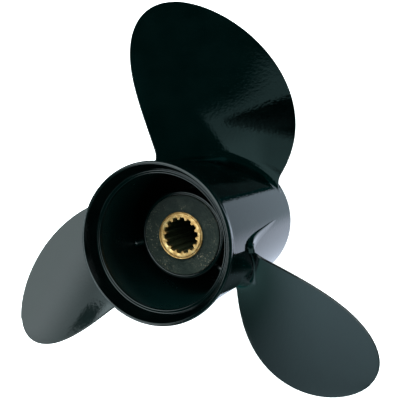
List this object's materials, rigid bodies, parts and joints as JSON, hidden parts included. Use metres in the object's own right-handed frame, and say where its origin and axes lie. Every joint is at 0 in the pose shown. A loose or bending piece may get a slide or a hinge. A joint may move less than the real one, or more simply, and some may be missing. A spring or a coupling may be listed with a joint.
{
  "type": "outboard motor propeller",
  "caption": "Bladed boat propeller with a through-hub exhaust barrel, flared rear ring, rubber-cushioned hub and splined sleeve.",
  "frame": {"origin": "on the shaft axis, in the plane of the barrel's front face, on which the propeller stands", "axes": "+Z along the shaft axis, pointing aft to the flared rear ring; +Y towards the root of blade_1"},
  "size_m": [0.2667, 0.2594, 0.1455],
  "materials": {
    "black_paint": "gloss black paint on cast aluminium",
    "rubber": "moulded rubber, dull grey-black",
    "brass": "turned brass"
  },
  "bodies": {
    "root": {"barrel": "black_paint", "diffuser_ring": "black_paint", "inner_hub": "black_paint", "rib_1": "black_paint", "rib_2": "black_paint", "rib_3": "black_paint", "blade_1": "black_paint", "blade_2": "black_paint", "blade_3": "black_paint", "rubber_bush": "rubber", "splined_sleeve": "brass"}
  },
  "joints": []
}
